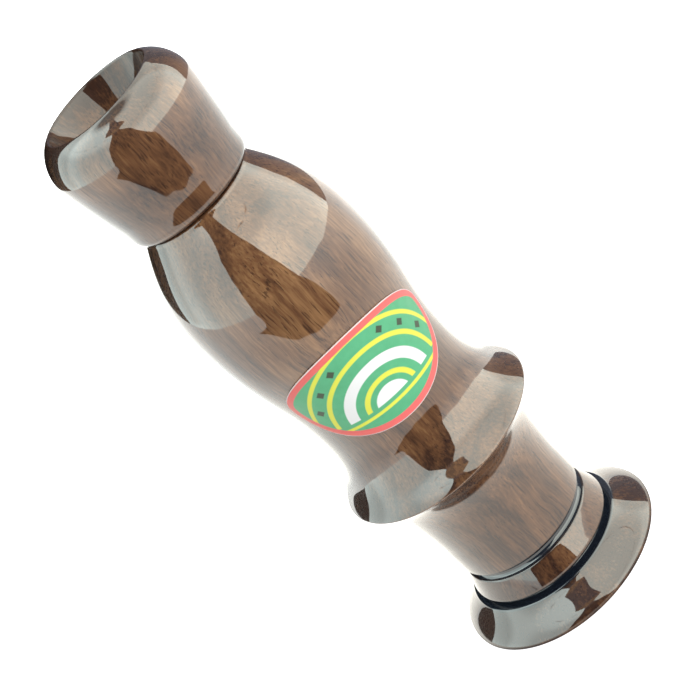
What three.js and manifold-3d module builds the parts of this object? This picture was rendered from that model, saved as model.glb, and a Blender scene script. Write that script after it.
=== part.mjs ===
import * as THREE from 'three';
import { mergeVertices } from 'three/addons/utils/BufferGeometryUtils.js';
import Module from 'manifold-3d';

// Closed-reed predator call, standing on its bell, mouth up.
// Millimetres, +Z up, origin at the middle of the bell's flat rim.

// Heights above the rim of the turned outside, from the bell up
const RIM_HEIGHT = 0.6;
const BELL_GROOVE_HEIGHT = 5.15;
const BEAD_BASE_HEIGHT = 6.0;
const BEAD_TOP_HEIGHT = 10.25;
const NECK_BASE_HEIGHT = 12.0;
const NECK_TOP_HEIGHT = 17.9;
const FLANGE_HEIGHT = 33.55;
const WAIST_HEIGHT = 45.8;
const SHOULDER_HEIGHT = 71.8;
const JOINT_HEIGHT = 89.9;

// Radii of the turned outside, from the bell up
const RIM_RADIUS = 18.5;
const RIM_EDGE = 0.6;
const BELL_NECK_RADIUS = 14.25;
const BEAD_BASE_RADIUS = 13.25;
const BEAD_TOP_RADIUS = 12.15;
const NECK_RADIUS = 12.25;
const FLANGE_RADIUS = 17.95;
const FLANGE_EDGE = 0.5;
const WAIST_RADIUS = 13.1;
const SHOULDER_RADIUS = 15.7;
const JOINT_RADIUS = 10.15;
const JOINT_EDGE = 0.65;

// Burnt grooves, and the break of a turned corner
const GROOVE_DEPTH = 0.8;
const GROOVE_FLOOR_WIDTH = 0.3;
const CORNER_BREAK = 0.15;

// Bore of the barrel
const RIM_FLAT_WIDTH = 2.0;
const BELL_DEPTH = 18.0;
const BORE_RADIUS = 6.35;
const SOCKET_RADIUS = 8.0;
const SOCKET_DEPTH = 19.5;

// Mouthpiece
const JOINT_GAP = 0.3;
const CUP_LENGTH = 20.15;
const CUP_BASE_RADIUS = 11.15;
const CUP_BASE_EDGE = 1.3;
const CUP_SIDE_RISE = 3.0;
const CUP_SIDE_RADIUS = 11.36;
const LIP_RADIUS = 13.03;
const LIP_DROP = 5.65;
const LIP_OPENING_RADIUS = 9.4;
const LIP_EDGE = 0.4;
const THROAT_RADIUS = 5.2;
const CUP_DEPTH = 11.5;
const TENON_CLEARANCE = 0.3;
const TENON_LENGTH = 18.7;
const TENON_CHAMFER = 0.7;

// O-rings on the tenon
const RING_THICKNESS = 1.4;
const RING_SIDE_CLEARANCE = 0.2;
const RING_CLEARANCE = 0.12;
const UPPER_RING_DROP = 5.0;
const LOWER_RING_RISE = 5.2;

// Voice: sleeve, trough, reed and wedge
const SLEEVE_WALL = 0.35;
const SLEEVE_LENGTH = 12.0;
const SLEEVE_PROUD = 0.6;
const SEAT_CLEARANCE = 0.3;
const TROUGH_LENGTH = 28.0;
const TROUGH_PROUD = 1.4;
const CHANNEL_WIDTH = 3.4;
const CHANNEL_DEPTH = 2.4;
const NOSE_LENGTH = 2.6;
const NOSE_TIP = 1.2;
const REED_WIDTH = 5.2;
const REED_THICKNESS = 0.25;
const REED_TAIL = 5.5;
const REED_REACH = 17.0;
const REED_CURL = 0.9;
const REED_CLEARANCE = 0.3;
const WEDGE_LENGTH = 9.5;
const WEDGE_SLOPE = 2.5;

// Sticker on the waist
const LABEL_CENTRE_HEIGHT = 56.8;
const LABEL_RISE = 6.9;
const LABEL_FALL = 11.2;
const LABEL_HALF_WIDTH = 15.1;
const LABEL_LOWER_FULLNESS = 2.0;
const LABEL_UPPER_FULLNESS = 1.9;
const LABEL_THICKNESS = 0.2;
const LABEL_CLEARANCE = 0.15;
const LABEL_ROWS = 16;
const LABEL_COLUMNS = 20;

// Facets round a turned piece, and steps along a curve of its outline
const FACETS = 44;
const CURVE_STEPS = 7;
const RING_SIDES = 10;
const VOICE_STEPS = 16;
const REED_STEPS = 10;

// How far a cutting block stands over the end that it cuts
const OVERRUN = 1;

// Colours of the materials
const WALNUT = 0x5b3a22;
const RUBBER = 0x141414;
const BRASS = 0xb8913f;
const BRONZE = 0xb9853d;
const BLACK_PLASTIC = 0x1c1c1e;
const BROWN_PLASTIC = 0x2b2521;
const GREEN_VINYL = 0x46c38c;

// Heights and radii that follow from the sizes above
const SEAT_HEIGHT = JOINT_HEIGHT + JOINT_GAP;
const CREST_HEIGHT = SEAT_HEIGHT + CUP_LENGTH;
const LIP_HEIGHT = CREST_HEIGHT - LIP_DROP;
const TENON_RADIUS = SOCKET_RADIUS - TENON_CLEARANCE;
const TENON_END = SEAT_HEIGHT - TENON_LENGTH;
const SOCKET_FLOOR = JOINT_HEIGHT - SOCKET_DEPTH;
const RING_GROOVE_RADIUS = SOCKET_RADIUS - RING_THICKNESS - 2 * RING_CLEARANCE;
const SLEEVE_RADIUS = THROAT_RADIUS - SEAT_CLEARANCE;
const VOICE_RADIUS = SLEEVE_RADIUS - SLEEVE_WALL - SEAT_CLEARANCE;
const SLEEVE_END = TENON_END - SLEEVE_PROUD;
const VOICE_END = SLEEVE_END - TROUGH_PROUD;
const REED_PIVOT = VOICE_END + WEDGE_LENGTH;
const FACING_DEPTH = REED_THICKNESS / 2 + REED_CLEARANCE;

const wasm = await Module();
wasm.setup();

// Keep only positions, with each shared corner once
function welded(geometry) {
  geometry.deleteAttribute('normal');
  geometry.deleteAttribute('uv');
  return mergeVertices(geometry, 1e-4);
}

function solidOf(geometry) {
  const closed = welded(geometry);
  return new wasm.Manifold(new wasm.Mesh({
    numProp: 3,
    vertProperties: new Float32Array(closed.attributes.position.array),
    triVerts: new Uint32Array(closed.index.array),
  }));
}

function geometryOf(solid) {
  const mesh = solid.getMesh();
  const geometry = new THREE.BufferGeometry();
  geometry.setAttribute('position', new THREE.BufferAttribute(mesh.vertProperties, 3));
  geometry.setIndex(new THREE.BufferAttribute(mesh.triVerts, 1));
  return geometry;
}

// Turn a closed outline of (radius, height) points about the vertical axis
function turned(outline) {
  const points = [...outline, outline[0]];
  return welded(new THREE.LatheGeometry(points, FACETS).rotateX(Math.PI / 2));
}

function point(radius, height) {
  return new THREE.Vector2(radius, height);
}

// A cubic curve between two outline points; each pull leads off from its own end
function curve(from, fromPull, toPull, to) {
  return new THREE.CubicBezierCurve(from, from.clone().add(fromPull), to.clone().add(toPull), to);
}

// Points along such a curve, without its first point
function sweep(from, fromPull, toPull, to, steps = CURVE_STEPS) {
  return curve(from, fromPull, toPull, to).getPoints(steps).slice(1);
}

// A quarter-round edge: from one point to the next, bulging towards the corner
function rounded(from, corner, to, steps = 3) {
  return new THREE.QuadraticBezierCurve(from, corner, to).getPoints(steps);
}

function mesh(name, geometry, colour, roughness, metalness = 0) {
  const material = new THREE.MeshStandardMaterial({ color: colour, roughness, metalness });
  const part = new THREE.Mesh(geometry, material);
  part.name = name;
  return part;
}

// Flare from the flange's sharp edge up to the waist
function flare() {
  const edgePull = point(-1.8, 2.25);
  const waistPull = point(0, -8.2);
  const edge = point(FLANGE_RADIUS, FLANGE_HEIGHT);
  return curve(edge, edgePull, waistPull, point(WAIST_RADIUS, WAIST_HEIGHT));
}

// Belly from the waist up to the shoulder
function belly() {
  const waistPull = point(0, 10.3);
  const shoulderPull = point(0, -13.3);
  const waist = point(WAIST_RADIUS, WAIST_HEIGHT);
  return curve(waist, waistPull, shoulderPull, point(SHOULDER_RADIUS, SHOULDER_HEIGHT));
}

// Flare and belly as one line of stations, which the sticker follows too
function waistLine() {
  return [...flare().getPoints(CURVE_STEPS), ...belly().getPoints(CURVE_STEPS).slice(1)];
}

// Floor of a burnt groove between the edges below and above it
function grooveFloor(below, above) {
  const radius = Math.min(below.x, above.x) - GROOVE_DEPTH;
  const middle = (below.y + above.y) / 2;
  return [
    point(radius, middle - GROOVE_FLOOR_WIDTH / 2),
    point(radius, middle + GROOVE_FLOOR_WIDTH / 2),
  ];
}

// Rim, bell, burnt groove, wooden bead, burnt groove, and the foot of the neck
function bellOutline() {
  const rimPull = point(0, 0.95);
  const bellPull = point(1.35, -1.75);
  const beadFullness = 2.05;
  const rimTop = point(RIM_RADIUS, RIM_HEIGHT);
  const bellTop = point(BELL_NECK_RADIUS, BELL_GROOVE_HEIGHT);
  const beadBase = point(BEAD_BASE_RADIUS, BEAD_BASE_HEIGHT);
  const beadTop = point(BEAD_TOP_RADIUS, BEAD_TOP_HEIGHT);
  const neckBase = point(NECK_RADIUS - CORNER_BREAK, NECK_BASE_HEIGHT);
  return [
    ...rounded(point(RIM_RADIUS - RIM_EDGE, 0), point(RIM_RADIUS, 0), rimTop),
    ...sweep(rimTop, rimPull, bellPull, bellTop),
    ...grooveFloor(bellTop, beadBase),
    ...rounded(beadBase, point(beadBase.x, beadBase.y + beadFullness), beadTop, 4),
    ...grooveFloor(beadTop, neckBase),
    neckBase,
    point(NECK_RADIUS, NECK_BASE_HEIGHT + 2 * CORNER_BREAK),
  ];
}

// Straight neck and the cove that sweeps out to the flange's sharp edge
function coveOutline() {
  const neckPull = point(0.3, 6.75);
  const flangePull = point(-4.15, -3.7);
  const neckTop = point(NECK_RADIUS, NECK_TOP_HEIGHT);
  const coveEnd = point(FLANGE_RADIUS - FLANGE_EDGE, FLANGE_HEIGHT - FLANGE_EDGE);
  return [
    neckTop,
    ...sweep(neckTop, neckPull, flangePull, coveEnd, 9),
    point(FLANGE_RADIUS - CORNER_BREAK, FLANGE_HEIGHT - FLANGE_EDGE / 2),
  ];
}

// Flare, waist, belly and shoulder, up to the rounded edge at the joint
function bodyOutline() {
  const shoulderPull = point(0, 8.4);
  const jointPull = point(2.55, -4.4);
  const shoulder = point(SHOULDER_RADIUS, SHOULDER_HEIGHT);
  const edge = point(JOINT_RADIUS, JOINT_HEIGHT - JOINT_EDGE);
  const corner = point(JOINT_RADIUS - CORNER_BREAK, JOINT_HEIGHT);
  return [
    ...waistLine(),
    ...sweep(shoulder, shoulderPull, jointPull, edge, 9).slice(0, -1),
    ...rounded(edge, corner, point(JOINT_RADIUS - JOINT_EDGE, JOINT_HEIGHT)),
  ];
}

// Socket for the tenon, its floor, the bore, and the trumpet of the bell
function boreOutline() {
  const borePull = point(0, -8.1);
  const mouthPull = point(-6, 4.5);
  const boreEnd = point(BORE_RADIUS, BELL_DEPTH);
  const trumpetMouth = point(RIM_RADIUS - RIM_EDGE - RIM_FLAT_WIDTH, 0);
  return [
    point(SOCKET_RADIUS, JOINT_HEIGHT),
    point(SOCKET_RADIUS, SOCKET_FLOOR),
    point(BORE_RADIUS, SOCKET_FLOOR),
    boreEnd,
    ...sweep(boreEnd, borePull, mouthPull, trumpetMouth),
  ];
}

function barrel() {
  const outline = [...bellOutline(), ...coveOutline(), ...bodyOutline(), ...boreOutline()];
  return mesh('barrel', turned(outline), WALNUT, 0.18);
}

// Lip, side and lower edge of the cup, from the opening down to the joint
function cupOutside() {
  const crestPull = point(1.85, -0.8);
  const lipPullUp = point(0, 2.4);
  const lipPullDown = point(0, -1.75);
  const sidePull = point(0.3, 1.3);
  const crest = point(LIP_OPENING_RADIUS + LIP_EDGE / 2, CREST_HEIGHT);
  const lip = point(LIP_RADIUS, LIP_HEIGHT);
  const side = point(CUP_SIDE_RADIUS, SEAT_HEIGHT + CUP_SIDE_RISE);
  return [
    crest,
    ...sweep(crest, crestPull, lipPullUp, lip),
    ...sweep(lip, lipPullDown, sidePull, side, 5),
    ...rounded(
      point(CUP_BASE_RADIUS, SEAT_HEIGHT + CUP_BASE_EDGE),
      point(CUP_BASE_RADIUS - CORNER_BREAK, SEAT_HEIGHT + CORNER_BREAK),
      point(CUP_BASE_RADIUS - CUP_BASE_EDGE, SEAT_HEIGHT),
    ),
  ];
}

// Heights of the middles of the two ring grooves
function ringHeights() {
  return [SEAT_HEIGHT - UPPER_RING_DROP, TENON_END + LOWER_RING_RISE];
}

function tenonOutside() {
  const half = RING_THICKNESS / 2 + RING_SIDE_CLEARANCE;
  const grooves = ringHeights().flatMap((height) => [
    point(TENON_RADIUS, height + half),
    point(RING_GROOVE_RADIUS, height + half),
    point(RING_GROOVE_RADIUS, height - half),
    point(TENON_RADIUS, height - half),
  ]);
  return [
    point(TENON_RADIUS, SEAT_HEIGHT),
    ...grooves,
    point(TENON_RADIUS, TENON_END + TENON_CHAMFER),
    point(TENON_RADIUS - TENON_CHAMFER, TENON_END),
  ];
}

// Bore for the voice, and the funnel of the cup
function cupInside() {
  const throatPull = point(0.6, 3.2);
  const edgePull = point(-1.1, -3.6);
  const throat = point(THROAT_RADIUS, CREST_HEIGHT - CUP_DEPTH);
  const edge = point(LIP_OPENING_RADIUS - LIP_EDGE / 2, CREST_HEIGHT - LIP_EDGE);
  return [
    point(THROAT_RADIUS, TENON_END),
    throat,
    ...sweep(throat, throatPull, edgePull, edge, 6),
  ];
}

function mouthpiece() {
  const outline = [...cupOutside(), ...tenonOutside(), ...cupInside()];
  return mesh('mouthpiece', turned(outline.reverse()), WALNUT, 0.18);
}

function tenonRing(name, height) {
  const radius = RING_THICKNESS / 2;
  const middle = RING_GROOVE_RADIUS + RING_CLEARANCE + radius;
  const outline = [];
  for (let side = 0; side < RING_SIDES; side += 1) {
    const angle = (2 * Math.PI * side) / RING_SIDES;
    outline.push(point(middle + radius * Math.cos(angle), height + radius * Math.sin(angle)));
  }
  return mesh(name, turned(outline), RUBBER, 0.6);
}

function reedSleeve() {
  const inner = SLEEVE_RADIUS - SLEEVE_WALL;
  const top = SLEEVE_END + SLEEVE_LENGTH;
  return mesh('reed_sleeve', turned([
    point(inner, SLEEVE_END),
    point(SLEEVE_RADIUS, SLEEVE_END),
    point(SLEEVE_RADIUS, top),
    point(inner, top),
  ]), BRASS, 0.3, 1);
}

// A half-round bar standing on its end, with its flat side facing -Y or +Y
function halfRound(length, towards) {
  const lift = Math.asin(FACING_DEPTH / VOICE_RADIUS);
  const outline = new THREE.Shape();
  for (let step = 0; step <= VOICE_STEPS; step += 1) {
    const angle = lift + ((Math.PI - 2 * lift) * step) / VOICE_STEPS;
    const x = VOICE_RADIUS * Math.cos(angle);
    const y = towards * VOICE_RADIUS * Math.sin(angle);
    if (step === 0) {
      outline.moveTo(x, y);
    } else {
      outline.lineTo(x, y);
    }
  }
  const bar = new THREE.ExtrudeGeometry(outline, { depth: length, bevelEnabled: false });
  return solidOf(bar.translate(0, 0, VOICE_END));
}

// Stand up a piece drawn from the side: across becomes +Y or -Y, and up becomes height
function standing(outline, width, towards = 1) {
  const piece = new THREE.ExtrudeGeometry(outline, { depth: width, bevelEnabled: false });
  piece.applyMatrix4(new THREE.Matrix4().makeBasis(
    new THREE.Vector3(0, towards, 0),
    new THREE.Vector3(0, 0, 1),
    new THREE.Vector3(towards, 0, 0),
  ));
  return piece.translate((-towards * width) / 2, 0, 0);
}

// Block beyond the slanting plane that thins a half-round bar towards its upper end
function slantBlock(top, length, towards) {
  const back = FACING_DEPTH + VOICE_RADIUS;
  const outline = new THREE.Shape();
  outline.moveTo(FACING_DEPTH, top + OVERRUN);
  outline.lineTo(back, top + OVERRUN);
  outline.lineTo(back, top - length);
  outline.lineTo(FACING_DEPTH + NOSE_TIP, top);
  outline.lineTo(FACING_DEPTH, top);
  return solidOf(standing(outline, 4 * VOICE_RADIUS, towards));
}

// Sound board: air channel open along the facing and out at the tail, solid rounded nose
function toneTrough() {
  const body = halfRound(TROUGH_LENGTH, 1);
  const length = TROUGH_LENGTH - NOSE_LENGTH + OVERRUN;
  const channel = new THREE.BoxGeometry(CHANNEL_WIDTH, CHANNEL_DEPTH * 2, length);
  channel.translate(0, FACING_DEPTH, VOICE_END - OVERRUN + length / 2);
  const slant = slantBlock(VOICE_END + TROUGH_LENGTH, NOSE_LENGTH * 2, 1);
  const trough = body.subtract(solidOf(channel)).subtract(slant);
  return mesh('tone_trough', geometryOf(trough), BLACK_PLASTIC, 0.35);
}

// Thin spring strip, flat where it is clamped and curling away from the facing to its tip
function reed() {
  const half = REED_THICKNESS / 2;
  const front = [];
  const back = [];
  for (let step = 0; step <= REED_STEPS; step += 1) {
    const height = REED_PIVOT + (REED_REACH * step) / REED_STEPS;
    const curl = -REED_CURL * (step / REED_STEPS) ** 2;
    front.push([curl - half, height]);
    back.unshift([curl + half, height]);
  }
  const outline = new THREE.Shape();
  outline.moveTo(-half, REED_PIVOT - REED_TAIL);
  [...front, ...back].forEach(([across, height]) => outline.lineTo(across, height));
  outline.lineTo(half, REED_PIVOT - REED_TAIL);
  return mesh('reed', welded(standing(outline, REED_WIDTH)), BRONZE, 0.25, 1);
}

// Half-round wedge against the tail of the reed, sloping off in front of the clamp
function reedWedge() {
  const body = halfRound(WEDGE_LENGTH, -1);
  const slant = slantBlock(REED_PIVOT, WEDGE_SLOPE, -1);
  return mesh('reed_wedge', geometryOf(body.subtract(slant)), BROWN_PLASTIC, 0.55);
}

// Radius of the barrel's turned facets at a height between the flange and the shoulder
function waistRadiusAt(height) {
  const line = waistLine();
  const above = line.findIndex((station) => station.y >= height);
  const low = line[above - 1];
  const high = line[above];
  const share = (height - low.y) / (high.y - low.y);
  return low.x + (high.x - low.x) * share;
}

// Height and half width of the sticker at a step from its lower to its upper end
function labelRow(step) {
  const angle = -Math.PI / 2 + (Math.PI * step) / LABEL_ROWS;
  const reach = angle < 0 ? LABEL_FALL : LABEL_RISE;
  const fullness = angle < 0 ? LABEL_LOWER_FULLNESS : LABEL_UPPER_FULLNESS;
  const rise = Math.sin(angle);
  const width = (1 - Math.abs(rise) ** fullness) ** (1 / fullness);
  return [LABEL_CENTRE_HEIGHT + reach * rise, LABEL_HALF_WIDTH * width];
}

// Thin sticker wrapped round the front of the waist: rounded above and below
function barrelLabel() {
  const positions = [];
  const faces = [];
  const count = LABEL_COLUMNS + 1;
  const inner = LABEL_CLEARANCE;
  const outer = LABEL_CLEARANCE + LABEL_THICKNESS;
  for (const lift of [inner, outer]) {
    for (let row = 0; row < LABEL_ROWS; row += 1) {
      const [height, half] = labelRow(row + 0.5);
      const radius = waistRadiusAt(height);
      for (let column = 0; column < count; column += 1) {
        const across = (2 * column) / LABEL_COLUMNS - 1;
        const angle = (half * across) / radius;
        positions.push((radius + lift) * Math.sin(angle), -(radius + lift) * Math.cos(angle), height);
      }
    }
  }
  const layer = LABEL_ROWS * count;
  const quad = (a, b, c, d) => faces.push(a, b, c, a, c, d);
  for (let row = 0; row < LABEL_ROWS - 1; row += 1) {
    for (let column = 0; column < LABEL_COLUMNS; column += 1) {
      const corner = row * count + column;
      quad(corner, corner + count, corner + count + 1, corner + 1);
      quad(layer + corner, layer + corner + 1, layer + corner + count + 1, layer + corner + count);
    }
    const left = row * count;
    const right = left + LABEL_COLUMNS;
    quad(left, layer + left, layer + left + count, left + count);
    quad(right, right + count, layer + right + count, layer + right);
  }
  const topRow = (LABEL_ROWS - 1) * count;
  for (let column = 0; column < LABEL_COLUMNS; column += 1) {
    quad(column, column + 1, layer + column + 1, layer + column);
    const top = topRow + column;
    quad(top, layer + top, layer + top + 1, top + 1);
  }
  const geometry = new THREE.BufferGeometry();
  geometry.setAttribute('position', new THREE.Float32BufferAttribute(positions, 3));
  geometry.setIndex(faces);
  return mesh('barrel_label', geometry, GREEN_VINYL, 0.3);
}

const call = new THREE.Group();
const [upperRingHeight, lowerRingHeight] = ringHeights();
call.add(barrel());
call.add(barrelLabel());
call.add(mouthpiece());
call.add(tenonRing('tenon_ring_upper', upperRingHeight));
call.add(tenonRing('tenon_ring_lower', lowerRingHeight));
call.add(reedSleeve());
call.add(toneTrough());
call.add(reed());
call.add(reedWedge());

export default call;
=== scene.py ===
"""Closed-reed predator call in turned and lacquered walnut, standing on its bell."""

import math

import bpy
import numpy as np
from mathutils import Matrix, Vector


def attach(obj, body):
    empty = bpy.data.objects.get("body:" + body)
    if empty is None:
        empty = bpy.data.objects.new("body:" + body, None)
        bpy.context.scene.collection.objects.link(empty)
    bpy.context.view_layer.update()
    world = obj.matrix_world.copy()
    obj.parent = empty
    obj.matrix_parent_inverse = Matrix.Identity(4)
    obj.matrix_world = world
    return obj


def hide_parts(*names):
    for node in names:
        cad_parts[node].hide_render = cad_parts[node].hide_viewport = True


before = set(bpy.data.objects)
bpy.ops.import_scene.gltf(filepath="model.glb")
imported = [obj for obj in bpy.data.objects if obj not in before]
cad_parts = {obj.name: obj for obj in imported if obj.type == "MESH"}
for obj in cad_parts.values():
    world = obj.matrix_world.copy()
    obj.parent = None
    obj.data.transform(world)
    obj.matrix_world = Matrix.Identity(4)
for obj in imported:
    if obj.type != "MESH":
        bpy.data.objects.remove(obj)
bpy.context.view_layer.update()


# Barrel. A 38 mm walnut blank turned in one piece between centres: shoulder, waist, sharp flange,
# neck, bead and bell. The two rings are grooves cut with the skew and burnt black with a wire.
# It is bored through, counterbored for the tenon, and dipped in thick clear lacquer.
MM = 0.001
TURNED_SEGMENTS = 200


def cubic(a, b, c, d, steps):
    """Points on a cubic curve from a to d, without a."""
    t = np.linspace(0, 1, steps + 1)[1:, None]
    a, b, c, d = (np.array(p, float) for p in (a, b, c, d))
    return list((1 - t) ** 3 * a + 3 * (1 - t) ** 2 * t * b + 3 * (1 - t) * t * t * c + t**3 * d)


def edge(a, corner, b, steps=6):
    """Points on a rounded edge from a to b, both included."""
    t = np.linspace(0, 1, steps + 1)[:, None]
    a, corner, b = (np.array(p, float) for p in (a, corner, b))
    return list((1 - t) ** 2 * a + 2 * (1 - t) * t * corner + t * t * b)


def straight(a, b, step=0.8):
    """Points on a straight stretch from a to b, without a."""
    a, b = np.array(a, float), np.array(b, float)
    count = max(1, int(np.ceil(np.linalg.norm(b - a) / step)))
    return [a + (b - a) * i / count for i in range(1, count + 1)]


def mesh_object(name, vertices, faces, smooth=True):
    """A linked mesh object made of the given points, in metres, and faces."""
    data = bpy.data.meshes.new(name)
    data.from_pydata([tuple(v) for v in vertices], [], faces)
    data.polygons.foreach_set("use_smooth", [smooth] * len(data.polygons))
    data.update()
    made = bpy.data.objects.new(name, data)
    bpy.context.scene.collection.objects.link(made)
    return made


def hand_wave(angle, height, depth, seed):
    """Unevenness of a hand-turned, dipped surface: slow waves round and along the piece, in mm."""
    phase = np.random.default_rng(seed).uniform(0, 2 * math.pi, 8)
    return depth * (
        0.45 * np.sin(3 * angle + height * 0.31 + phase[0])
        + 0.30 * np.sin(7 * angle - height * 0.52 + phase[1])
        + 0.20 * np.sin(13 * angle + height * 0.77 + phase[2])
        + 0.16 * np.sin(22 * angle - height * 1.10 + phase[3])
        + 0.10 * np.sin(31 * angle + height * 1.90 + phase[4])
    )


def turned(name, outline, wave_depth=0.0, seed=1, segments=TURNED_SEGMENTS):
    """A closed outline of (radius, height) points in mm, turned about Z."""
    radius, height = np.array(outline, float).T
    angle = np.linspace(0, 2 * math.pi, segments, endpoint=False)[:, None]
    r = radius[None, :] + hand_wave(angle, height[None, :], wave_depth, seed) - wave_depth
    x, y = r * np.sin(angle), -r * np.cos(angle)
    z = np.broadcast_to(height[None, :], r.shape)
    vertices = np.stack([x, y, z], axis=2).reshape(-1, 3) * MM
    count = len(outline)
    faces = []
    for i in range(segments):
        here, there = i * count, ((i + 1) % segments) * count
        for j in range(count):
            k = (j + 1) % count
            faces.append((here + j, there + j, there + k, here + k))
    return mesh_object(name, vertices, faces)


# Named places of the profile, as (radius, height) in mm.
NECK_FOOT, NECK_TOP = (12.26, 12.3), (12.26, 17.9)
FLANGE_TIP, WAIST, BELLY = (17.93, 33.57), (13.1, 45.8), (15.7, 71.8)
JOINT_HEIGHT, SOCKET_FLOOR = 89.9, 70.4
SOCKET_RADIUS, BORE_RADIUS = 8.0, 6.35

bell_rim = edge((17.9, 0), (18.49, 0), (18.5, 0.58), 8)
bell_side = cubic((18.5, 0.6), (18.5, 1.55), (15.6, 3.4), (14.25, 5.08), 34)
bell_groove = [
    *edge((14.24, 5.1), (14.17, 5.2), (14.05, 5.21), 4),
    *cubic((14.05, 5.21), (13.0, 5.2), (12.45, 5.25), (12.45, 5.6), 14),
    *cubic((12.45, 5.6), (12.45, 5.76), (12.6, 5.89), (12.9, 5.9), 6),
]
bead = [
    *edge((12.92, 5.9), (13.34, 5.92), (13.37, 6.5), 8),
    *cubic((13.37, 6.5), (13.0, 7.65), (12.6, 8.95), (12.17, 10.14), 18),
    *edge((12.15, 10.17), (12.1, 10.27), (11.98, 10.28), 3),
]
neck_groove = cubic((11.98, 10.28), (11.05, 10.4), (11.05, 11.85), (12.06, 11.96), 12)
neck = [*edge((12.08, 11.97), (12.25, 12.0), NECK_FOOT, 5), *straight(NECK_FOOT, NECK_TOP)]
cove = cubic(NECK_TOP, (12.57, 24.65), (13.3, 29.35), (17.45, 33.05), 34)
flange_edge = edge((17.5, 33.08), (17.98, 33.25), FLANGE_TIP, 7)
flare_side = [
    *cubic(FLANGE_TIP, (17.5, 34.3), (16.53, 35.25), (15.8, 36.1), 20),
    *cubic((15.8, 36.1), (15.39, 36.58), (15.025, 37.104), (14.73, 37.66), 12),
    *cubic((14.73, 37.66), (13.803, 39.403), (13.1, 41.864), WAIST, 30),
]
belly_side = cubic(WAIST, (13.1, 56.1), (15.7, 58.5), BELLY, 56)
shoulder = cubic(BELLY, (15.7, 80.2), (12.7, 84.85), (10.17, 89.2), 50)
joint_edge = edge((10.15, 89.25), (10.0, JOINT_HEIGHT), (9.5, JOINT_HEIGHT), 7)
socket = [
    *straight((9.5, JOINT_HEIGHT), (8.35, JOINT_HEIGHT), 0.5),
    *straight((8.35, JOINT_HEIGHT), (SOCKET_RADIUS, 89.55), 0.25),
    *straight((SOCKET_RADIUS, 89.55), (SOCKET_RADIUS, 70.7), 2),
    *straight((SOCKET_RADIUS, 70.7), (7.7, SOCKET_FLOOR), 0.2),
    *straight((7.7, SOCKET_FLOOR), (6.6, SOCKET_FLOOR), 0.5),
    *straight((6.6, SOCKET_FLOOR), (BORE_RADIUS, 70.15), 0.2),
]
bore = straight((BORE_RADIUS, 70.15), (BORE_RADIUS, 18.0), 2)
trumpet = cubic((BORE_RADIUS, 18.0), (BORE_RADIUS, 9.9), (9.9, 4.5), (15.7, 0.12), 32)
rim_flat = [*edge((15.74, 0.09), (15.86, 0.0), (16.05, 0.0), 3), *straight((16.05, 0), (17.8, 0), 0.6)]
barrel = turned(
    "turned_barrel",
    bell_rim + bell_side + bell_groove + bead + neck_groove + neck + cove + flange_edge + flare_side
    + belly_side + shoulder + joint_edge + socket + bore + trumpet + rim_flat,
    wave_depth=0.012,
    seed=4,
)


def node_group(name, inputs, outputs):
    """An empty shader node group with float or colour sockets, and its two end nodes."""
    group = bpy.data.node_groups.new(name, "ShaderNodeTree")
    kinds = {"float": "NodeSocketFloat", "colour": "NodeSocketColor"}
    for label, kind, value in inputs:
        socket_made = group.interface.new_socket(label, in_out="INPUT", socket_type=kinds[kind])
        socket_made.default_value = value
    for label, kind in outputs:
        group.interface.new_socket(label, in_out="OUTPUT", socket_type=kinds[kind])
    return group, group.nodes.new("NodeGroupInput"), group.nodes.new("NodeGroupOutput")


def wire(tree, source, target):
    """Links an output socket to an input socket."""
    tree.links.new(source, target)


def math_node(tree, operation, a, b=None, clamp=False):
    """A math node whose inputs are sockets or numbers; returns its output socket."""
    made = tree.nodes.new("ShaderNodeMath")
    made.operation, made.use_clamp = operation, clamp
    for socket_in, value in zip(made.inputs, (a, b)):
        if isinstance(value, bpy.types.NodeSocket):
            tree.links.new(value, socket_in)
        elif value is not None:
            socket_in.default_value = value
    return made.outputs[0]


def flat_length(tree, a, b):
    """The length of a flat vector whose two sides are the sockets a and b."""
    squares = [math_node(tree, "MULTIPLY", side, side) for side in (a, b)]
    return math_node(tree, "SQRT", math_node(tree, "ADD", *squares))


def on_object(tree):
    """The point being shaded, in the object's own metres."""
    return tree.nodes.new("ShaderNodeTexCoord").outputs["Object"]


def parted(tree, vector):
    """The X, Y and Z sockets of a vector."""
    split = tree.nodes.new("ShaderNodeSeparateXYZ")
    wire(tree, vector, split.inputs[0])
    return split.outputs


def noise(tree, vector, scale, detail=2.0, roughness=0.5, distortion=0.0):
    """A cloudy noise field, 0 to 1, with scale bumps a metre."""
    made = tree.nodes.new("ShaderNodeTexNoise")
    made.inputs["Scale"].default_value = scale
    made.inputs["Detail"].default_value = detail
    made.inputs["Roughness"].default_value = roughness
    made.inputs["Distortion"].default_value = distortion
    tree.links.new(vector, made.inputs["Vector"])
    return made.outputs["Fac"]


def ramp(tree, value, low, high, to_low=0.0, to_high=1.0, smooth=True):
    """Maps low..high of a value to to_low..to_high."""
    made = tree.nodes.new("ShaderNodeMapRange")
    made.interpolation_type = "SMOOTHSTEP" if smooth else "LINEAR"
    for label, number in (
        ("From Min", low), ("From Max", high), ("To Min", to_low), ("To Max", to_high)
    ):
        made.inputs[label].default_value = number
    tree.links.new(value, made.inputs["Value"])
    return made.outputs[0]


def blend_colour(tree, factor, a, b):
    """A colour mix; factor is a socket or a number, a and b are sockets or linear colours."""
    made = tree.nodes.new("ShaderNodeMix")
    made.data_type = "RGBA"
    for socket_in, value in ((made.inputs[0], factor), (made.inputs[6], a), (made.inputs[7], b)):
        if isinstance(value, bpy.types.NodeSocket):
            tree.links.new(value, socket_in)
        else:
            socket_in.default_value = (*value, 1) if isinstance(value, tuple) else value
    return made.outputs[2]


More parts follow.
